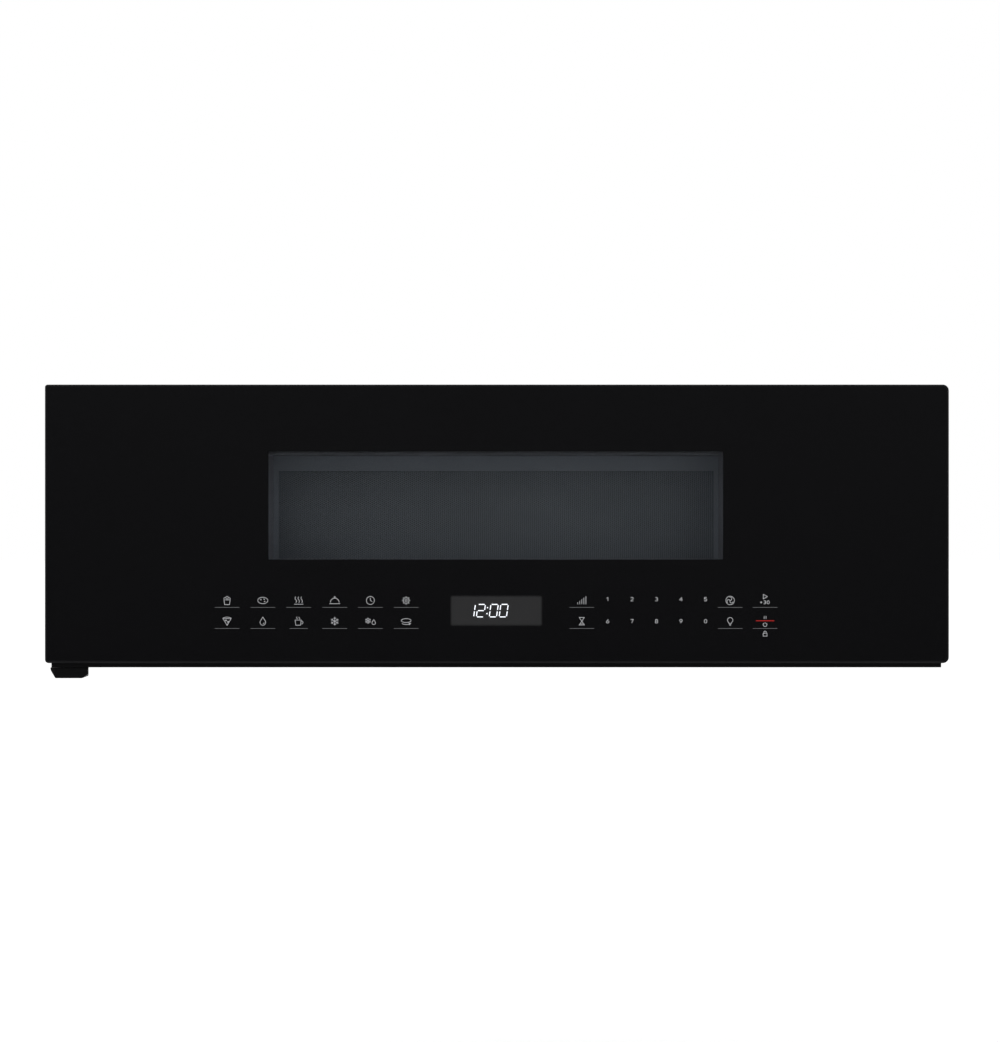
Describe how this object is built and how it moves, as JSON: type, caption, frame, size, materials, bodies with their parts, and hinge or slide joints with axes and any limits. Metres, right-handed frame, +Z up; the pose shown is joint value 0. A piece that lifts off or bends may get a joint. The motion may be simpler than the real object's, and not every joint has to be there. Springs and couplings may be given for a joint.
{
  "type": "over the range microwave",
  "caption": "Low-profile over the range microwave oven and vent hood with a full-width black glass door hinged at the left.",
  "frame": {"origin": "middle of the back plate's rear face, which hangs against the wall", "axes": "+Y out of the back towards the wall, +X to the right seen from the front, +Z up"},
  "size_m": [0.7588, 0.464, 0.2467],
  "materials": {
    "black_glass": "polished black glass, printed on its back",
    "clear_glass": "clear pressed glass",
    "black_paint": "satin black powder coat",
    "black_plastic": "fine grained moulding",
    "black_rubber": "soft black rubber",
    "white_plastic": "natural white moulding",
    "cavity_enamel": "smooth grey enamel",
    "galvanised_steel": "galvanised sheet",
    "transformer_steel": "varnished laminations and copper",
    "screen_paint": "perforated dark grey sheet",
    "aluminium": "bare aluminium",
    "circuit_board": "solder mask",
    "mica": "mica sheet",
    "charcoal": "charcoal granules in a frame",
    "spring_steel": "bright steel"
  },
  "bodies": {
    "cabinet": {"outer_cover": "black_paint", "exhaust_cover_plate": "galvanised_steel", "back_plate": "galvanised_steel", "base_plate": "black_paint", "front_frame": "black_paint", "vent_grille": "black_plastic", "charcoal_filter": "charcoal", "cord_grommet": "black_rubber", "oven_cavity": "cavity_enamel", "waveguide": "galvanised_steel", "waveguide_cover": "mica", "cavity_lamp": "white_plastic", "turntable_motor": "galvanised_steel", "magnetron": "aluminium", "high_voltage_transformer": "transformer_steel", "high_voltage_capacitor": "aluminium", "high_voltage_diode": "black_plastic", "noise_filter_board": "circuit_board", "power_board_tray": "white_plastic", "power_board": "circuit_board", "cooling_fan_duct": "black_plastic", "cooling_fan_motor": "galvanised_steel", "blower_housing_left": "galvanised_steel", "blower_housing_right": "galvanised_steel", "blower_motor": "galvanised_steel", "cooktop_lamp_left": "circuit_board", "cooktop_lamp_right": "circuit_board", "lamp_lens_left": "clear_glass", "lamp_lens_right": "clear_glass", "upper_hinge_bracket": "galvanised_steel", "lower_hinge_bracket": "black_paint", "lower_hinge_cover": "black_plastic", "latch_board": "white_plastic", "upper_interlock_switch": "black_plastic", "monitor_switch": "black_plastic", "lower_interlock_switch": "black_plastic"},
    "door": {"door_glass": "black_glass", "door_frame": "black_plastic", "door_back_cover": "black_plastic", "door_inner_panel": "black_paint", "window_screen": "screen_paint", "inner_window": "clear_glass", "choke_cover": "black_plastic", "touch_board": "circuit_board", "display_module": "black_plastic", "latch_spring": "spring_steel"},
    "door_latch": {"door_latch": "white_plastic"},
    "turntable": {"drive_coupler": "white_plastic"},
    "tray": {"glass_tray": "clear_glass"},
    "roller_ring": {"roller_ring": "white_plastic"},
    "roller_1": {"roller_1": "white_plastic"},
    "roller_2": {"roller_2": "white_plastic"},
    "roller_3": {"roller_3": "white_plastic"},
    "blower_rotor": {"blower_shaft": "spring_steel", "blower_wheel_left": "black_plastic", "blower_wheel_right": "black_plastic"},
    "cooling_fan": {"cooling_fan_wheel": "black_plastic"},
    "grease_filter_left": {"grease_filter_left": "aluminium"},
    "grease_filter_right": {"grease_filter_right": "aluminium"},
    "interlock_lever": {"interlock_lever": "white_plastic"}
  },
  "joints": [
    {"name": "door_hinge", "type": "hinge", "parent": "cabinet", "child": "door", "pos_m": [-0.3694, -0.433, 0], "axis": [0, 0, -1], "range_deg": [0, 105]},
    {"name": "latch_lift", "type": "slide", "parent": "door", "child": "door_latch", "axis": [0, 0, 1], "range_m": [0, 0.004], "stiffness_N_per_m": 400, "deforming": ["latch_spring"]},
    {"name": "turntable_drive", "type": "hinge", "parent": "cabinet", "child": "turntable", "pos_m": [-0.025, -0.2587, -0.0845], "axis": [0, 0, 1], "continuous": true},
    {"name": "tray_lift_off", "type": "slide", "parent": "turntable", "child": "tray", "axis": [0, 0, 1], "range_m": [0, 0.06]},
    {"name": "roller_ring_turn", "type": "hinge", "parent": "cabinet", "child": "roller_ring", "pos_m": [-0.025, -0.2587, -0.0845], "axis": [0, 0, 1], "continuous": true},
    {"name": "roller_1_spin", "type": "hinge", "parent": "roller_ring", "child": "roller_1", "pos_m": [0.069, -0.2587, -0.076], "axis": [1, 0, 0], "continuous": true},
    {"name": "roller_2_spin", "type": "hinge", "parent": "roller_ring", "child": "roller_2", "pos_m": [-0.072, -0.17729, -0.076], "axis": [-0.5, 0.866, 0], "continuous": true},
    {"name": "roller_3_spin", "type": "hinge", "parent": "roller_ring", "child": "roller_3", "pos_m": [-0.072, -0.34011, -0.076], "axis": [-0.5, -0.866, 0], "continuous": true},
    {"name": "blower_spin", "type": "hinge", "parent": "cabinet", "child": "blower_rotor", "pos_m": [-0.025, -0.054, 0.05895], "axis": [1, 0, 0], "continuous": true},
    {"name": "cooling_fan_spin", "type": "hinge", "parent": "cabinet", "child": "cooling_fan", "pos_m": [0.303, -0.08, 0.00235], "axis": [0, 1, 0], "continuous": true},
    {"name": "grease_filter_left_slide", "type": "slide", "parent": "cabinet", "child": "grease_filter_left", "axis": [-1, 0, 0], "range_m": [0, 0.0125]},
    {"name": "grease_filter_right_slide", "type": "slide", "parent": "cabinet", "child": "grease_filter_right", "axis": [1, 0, 0], "range_m": [0, 0.0125]},
    {"name": "interlock_lever_press", "type": "hinge", "parent": "cabinet", "child": "interlock_lever", "pos_m": [0.268, -0.395, 0.00325], "axis": [1, 0, 0], "range_deg": [0, 4], "stiffness_Nm_per_rad": 0.02}
  ],
  "couplings": [
    {"joint": "roller_ring_turn", "follows": "turntable_drive", "ratio": 0.5},
    {"joint": "roller_1_spin", "follows": "turntable_drive", "ratio": -5.875},
    {"joint": "roller_2_spin", "follows": "turntable_drive", "ratio": -5.875},
    {"joint": "roller_3_spin", "follows": "turntable_drive", "ratio": -5.875}
  ]
}
